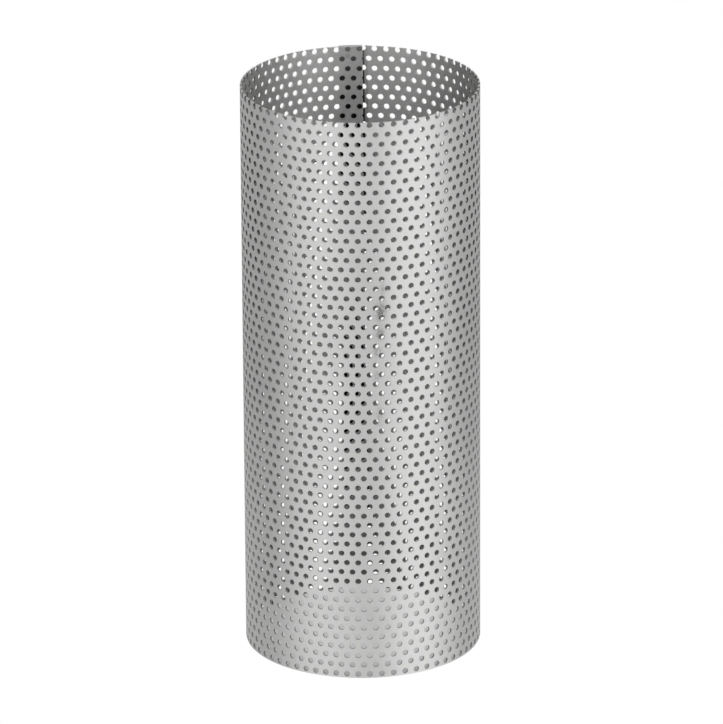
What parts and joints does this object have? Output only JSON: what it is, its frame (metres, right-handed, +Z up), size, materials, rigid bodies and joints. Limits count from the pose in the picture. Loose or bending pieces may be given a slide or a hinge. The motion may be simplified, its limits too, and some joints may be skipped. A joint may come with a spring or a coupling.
{
  "type": "cheese mold",
  "caption": "Tall open-ended hoop rolled from perforated stainless sheet, its overlapping back seam held by spot welds; it stands on its lower edge and drains curd.",
  "frame": {"origin": "centre of the hoop's lower edge, on the plane it stands on", "axes": "+Z up along the hoop's axis, +Y towards the lap seam at the back, -Y the front, +X to the right seen from the front"},
  "size_m": [0.1234, 0.1246, 0.305],
  "materials": {
    "brushed_stainless": "bright rolled stainless sheet with a faint vertical grain, semi-matt",
    "weld_metal": "dull electrode mark, slightly heat tinted"
  },
  "bodies": {
    "root": {"perforated_shell": "brushed_stainless", "spot_weld_01": "weld_metal", "spot_weld_02": "weld_metal", "spot_weld_03": "weld_metal", "spot_weld_04": "weld_metal", "spot_weld_05": "weld_metal", "spot_weld_06": "weld_metal", "spot_weld_07": "weld_metal", "spot_weld_08": "weld_metal", "spot_weld_09": "weld_metal", "spot_weld_10": "weld_metal", "spot_weld_11": "weld_metal", "spot_weld_12": "weld_metal"}
  },
  "joints": []
}
